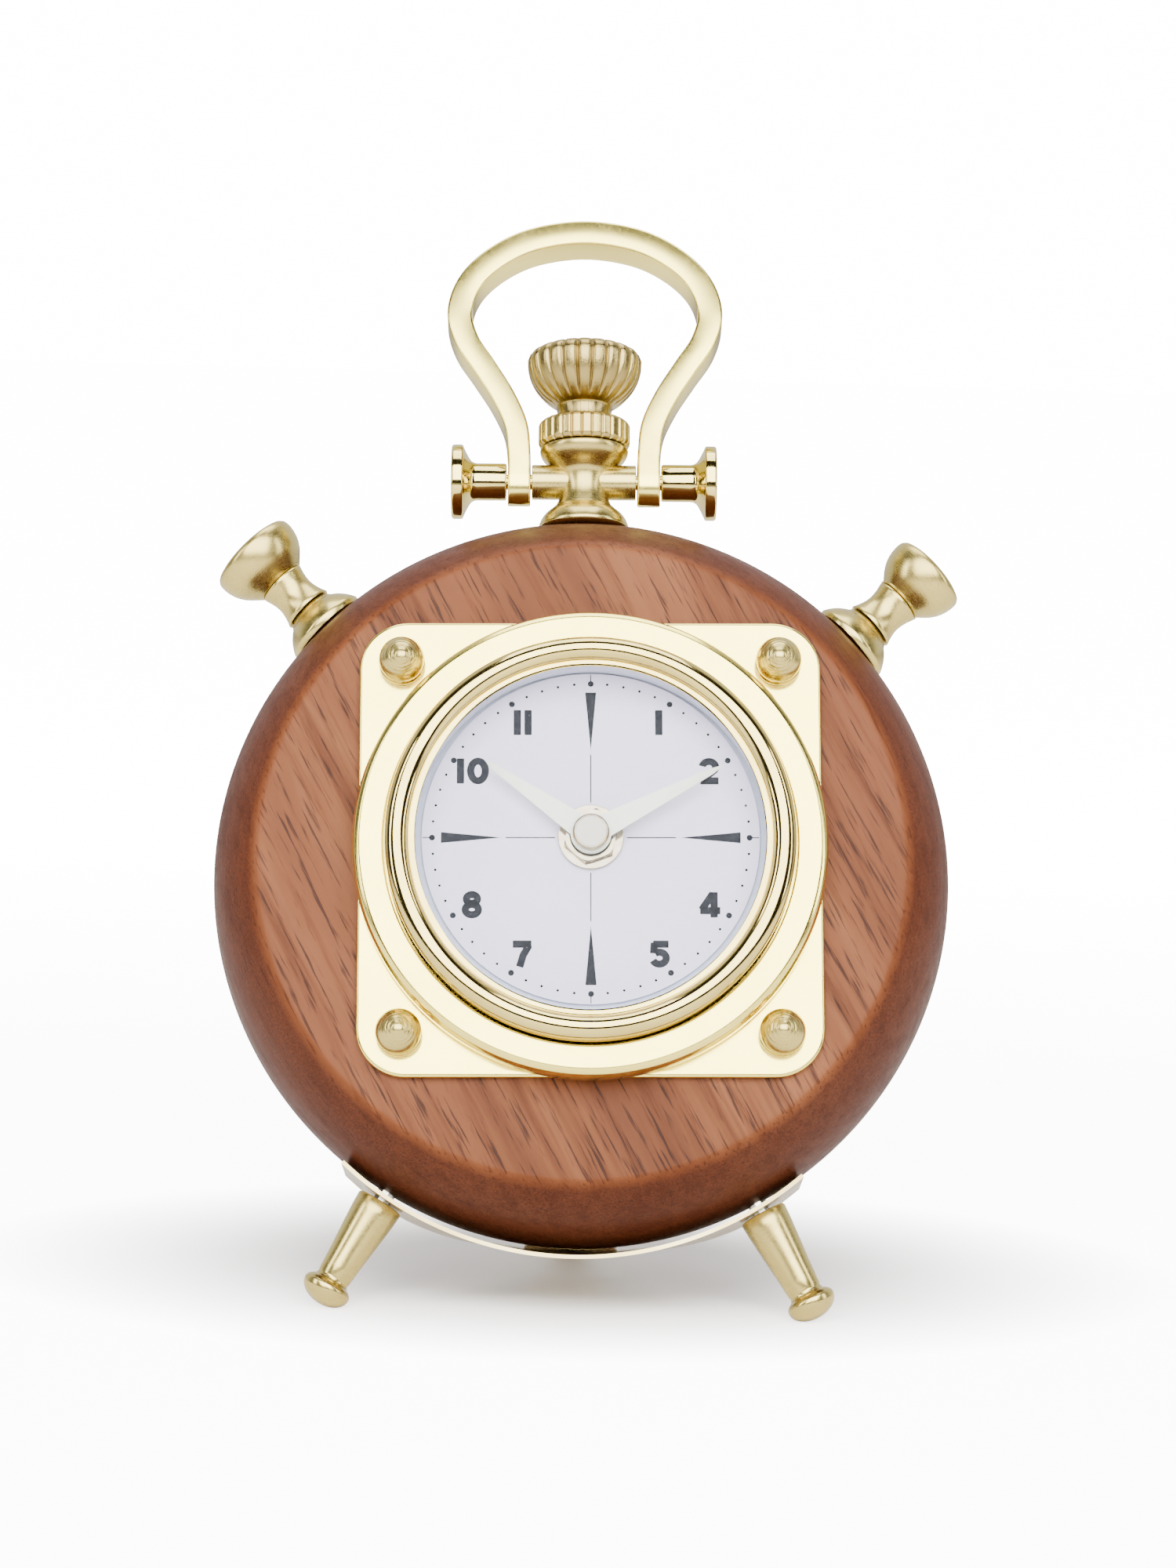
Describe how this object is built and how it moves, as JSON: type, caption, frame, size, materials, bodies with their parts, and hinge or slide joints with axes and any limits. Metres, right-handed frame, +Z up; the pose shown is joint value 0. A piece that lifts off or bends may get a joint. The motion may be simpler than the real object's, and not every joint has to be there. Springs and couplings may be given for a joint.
{
  "type": "desk clock",
  "caption": "Quartz desk clock shaped like a pocket watch: leaning turned wooden disc on brass legs, brass bezel, white dial, fluted crown and swinging bow handle.",
  "frame": {"origin": "centre of the bounding box on the plane that the three feet stand on", "axes": "+Z up, -Y towards the dial's side, +X to the viewer's right"},
  "size_m": [0.155, 0.109, 0.2207],
  "materials": {
    "wood": "satin varnished reddish hardwood",
    "brass_polished": "polished pale brass",
    "brass_satin": "satin turned pale brass",
    "steel": "plated steel",
    "glass": "clear",
    "dial_white": "matt printed white",
    "spacer_grey": "pale blue-grey",
    "hand_ivory": "off-white, semi-gloss",
    "case_black": "moulded, fine texture",
    "gear_plastic": "natural acetal",
    "board_green": "solder mask",
    "copper": "enamelled copper winding",
    "magnet": "sintered magnet",
    "battery_skin": "printed sleeve, plain",
    "rubber": "matt"
  },
  "bodies": {
    "case": {"wood_body": "wood", "wood_panel": "wood", "bezel_plate": "brass_polished", "bezel_ring": "brass_polished", "lens_bezel": "brass_polished", "dial_washer": "brass_polished", "hex_nut": "brass_polished", "dome_screw_top_left": "brass_satin", "dome_screw_top_right": "brass_satin", "dome_screw_bottom_left": "brass_satin", "dome_screw_bottom_right": "brass_satin", "neck": "brass_satin", "neck_collar": "brass_satin", "crown": "brass_satin", "cross_tube": "brass_satin", "knob_flange_left": "brass_satin", "knob_stem_left": "brass_satin", "knob_cup_left": "brass_satin", "knob_flange_right": "brass_satin", "knob_stem_right": "brass_satin", "knob_cup_right": "brass_satin", "leg_front_left": "brass_satin", "leg_front_right": "brass_satin", "leg_rear": "brass_satin", "foot_strap": "brass_satin", "neck_stud": "steel", "crown_stud": "steel", "knob_stud_left": "steel", "knob_stud_right": "steel", "leg_stud_left": "steel", "leg_stud_right": "steel", "leg_rear_screw": "steel", "battery_contact_plus": "steel", "battery_contact_minus": "steel", "stator": "steel", "dial_glass": "glass", "dial_face": "dial_white", "dial_backing": "spacer_grey", "dial_spacer": "spacer_grey", "movement_case": "case_black", "movement_cover": "case_black", "circuit_board": "board_green", "coil": "copper", "battery": "battery_skin", "rubber_washer": "rubber"},
    "handle": {"handle": "brass_polished"},
    "thumbscrew_left": {"thumbscrew_left": "brass_polished"},
    "thumbscrew_right": {"thumbscrew_right": "brass_polished"},
    "minute_hands": {"minute_arbor": "steel", "minute_hand": "hand_ivory", "hand_cap": "hand_ivory"},
    "hour_hands": {"hour_wheel": "gear_plastic", "hour_hand": "hand_ivory"},
    "motion": {"motion_wheel": "gear_plastic", "setting_knob": "case_black"},
    "seconds": {"seconds_wheel": "gear_plastic"},
    "third": {"third_wheel": "gear_plastic"},
    "centre": {"centre_wheel": "gear_plastic"},
    "intermediate": {"intermediate_wheel": "gear_plastic"},
    "rotor": {"rotor": "magnet"}
  },
  "joints": [
    {"name": "handle_swing", "type": "hinge", "parent": "case", "child": "handle", "pos_m": [-0.00164, 0.02272, 0.16553], "axis": [0.9997, 0.0078, 0.0213], "range_deg": [-110, 126]},
    {"name": "thumbscrew_left_turn", "type": "hinge", "parent": "case", "child": "thumbscrew_left", "pos_m": [-0.02164, 0.02257, 0.16511], "axis": [-0.9997, -0.0078, -0.0213], "range_deg": [0, 360]},
    {"name": "thumbscrew_right_turn", "type": "hinge", "parent": "case", "child": "thumbscrew_right", "pos_m": [0.01835, 0.02288, 0.16596], "axis": [0.9997, 0.0078, 0.0213], "range_deg": [0, 360]},
    {"name": "minute_spin", "type": "hinge", "parent": "case", "child": "minute_hands", "pos_m": [0.00201, -0.0056, 0.0877], "axis": [0, 0.9397, -0.342], "continuous": true},
    {"name": "hour_spin", "type": "hinge", "parent": "case", "child": "hour_hands", "pos_m": [0.00201, -0.0056, 0.0877], "axis": [0, 0.9397, -0.342], "continuous": true},
    {"name": "motion_spin", "type": "hinge", "parent": "case", "child": "motion", "pos_m": [-0.00653, -0.00464, 0.09036], "axis": [0, 0.9397, -0.342], "continuous": true},
    {"name": "seconds_spin", "type": "hinge", "parent": "case", "child": "seconds", "pos_m": [0.00201, -0.0056, 0.0877], "axis": [0, 0.9397, -0.342], "continuous": true},
    {"name": "third_spin", "type": "hinge", "parent": "case", "child": "third", "pos_m": [0.00991, -0.00453, 0.09066], "axis": [0, 0.9397, -0.342], "continuous": true},
    {"name": "centre_spin", "type": "hinge", "parent": "case", "child": "centre", "pos_m": [0.00201, -0.0056, 0.0877], "axis": [0, 0.9397, -0.342], "continuous": true},
    {"name": "intermediate_spin", "type": "hinge", "parent": "case", "child": "intermediate", "pos_m": [0.00096, -0.00255, 0.0961], "axis": [0, 0.9397, -0.342], "continuous": true},
    {"name": "rotor_spin", "type": "hinge", "parent": "case", "child": "rotor", "pos_m": [-0.0052, -0.00141, 0.09922], "axis": [0, 0.9397, -0.342], "continuous": true}
  ],
  "couplings": [
    {"joint": "hour_spin", "follows": "minute_spin", "ratio": 0.083333},
    {"joint": "motion_spin", "follows": "minute_spin", "ratio": -0.33333},
    {"joint": "third_spin", "follows": "seconds_spin", "ratio": -0.13333},
    {"joint": "centre_spin", "follows": "seconds_spin", "ratio": 0.016667},
    {"joint": "intermediate_spin", "follows": "seconds_spin", "ratio": -5},
    {"joint": "rotor_spin", "follows": "seconds_spin", "ratio": 30}
  ]
}
